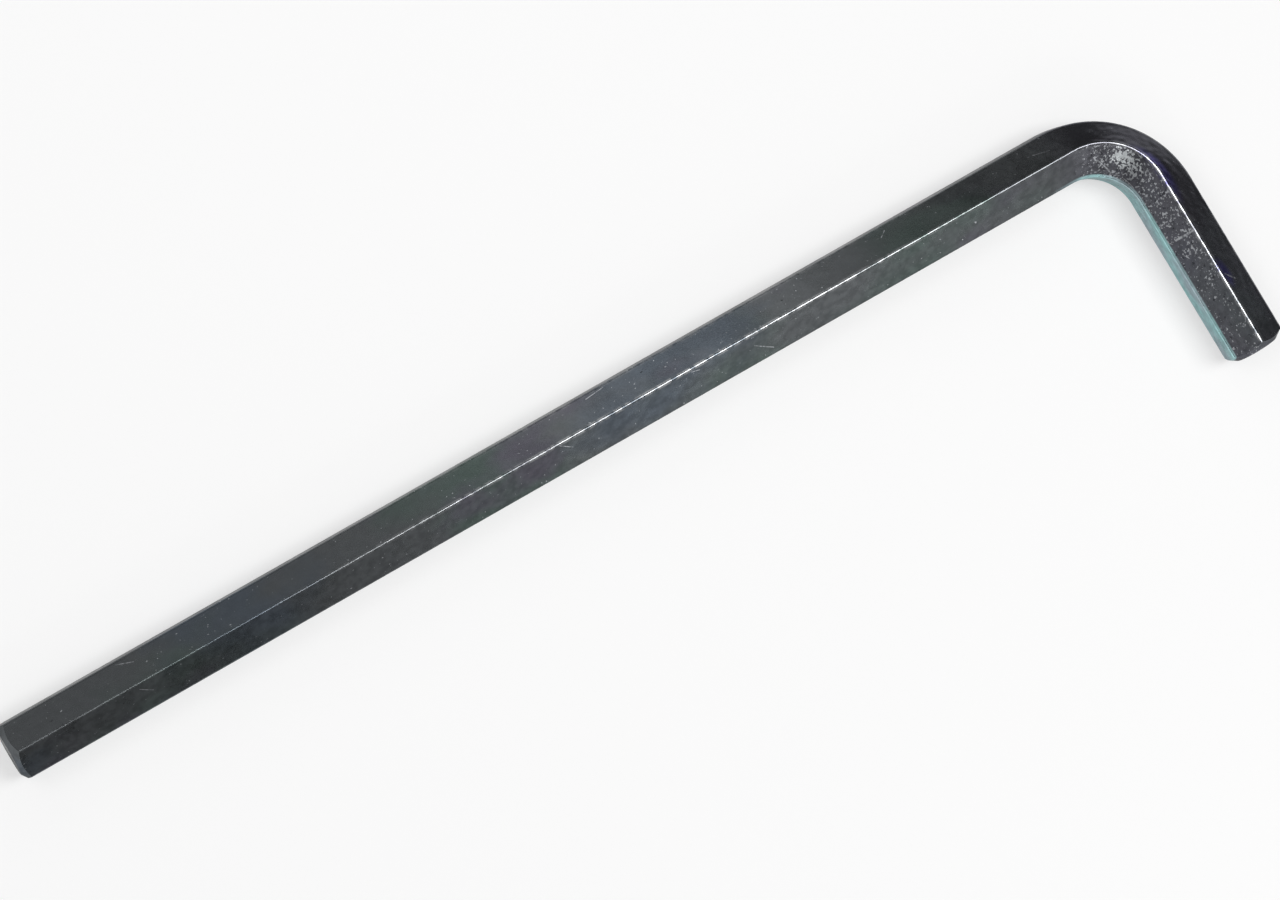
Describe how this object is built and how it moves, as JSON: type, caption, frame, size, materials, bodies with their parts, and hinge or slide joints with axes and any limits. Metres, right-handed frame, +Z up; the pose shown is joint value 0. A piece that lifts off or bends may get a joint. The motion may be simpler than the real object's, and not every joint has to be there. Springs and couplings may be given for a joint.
{
  "type": "hex key",
  "caption": "L-shaped hexagonal steel key with a long arm, a short arm and coned tips, for turning hexagon socket screws.",
  "frame": {"origin": "on the bench, under the centre of the key's bounding box", "axes": "+X along the long arm from its tip to the bend, the short arm runs from the bend towards -Y, +Z up with the key lying on its lowest corner line"},
  "size_m": [0.226, 0.0512, 0.0114],
  "materials": {
    "steel": "dark semi-bright plated tool steel, speckled at the bend, with worn bright corners"
  },
  "bodies": {
    "root": {"hex_key": "steel"}
  },
  "joints": []
}
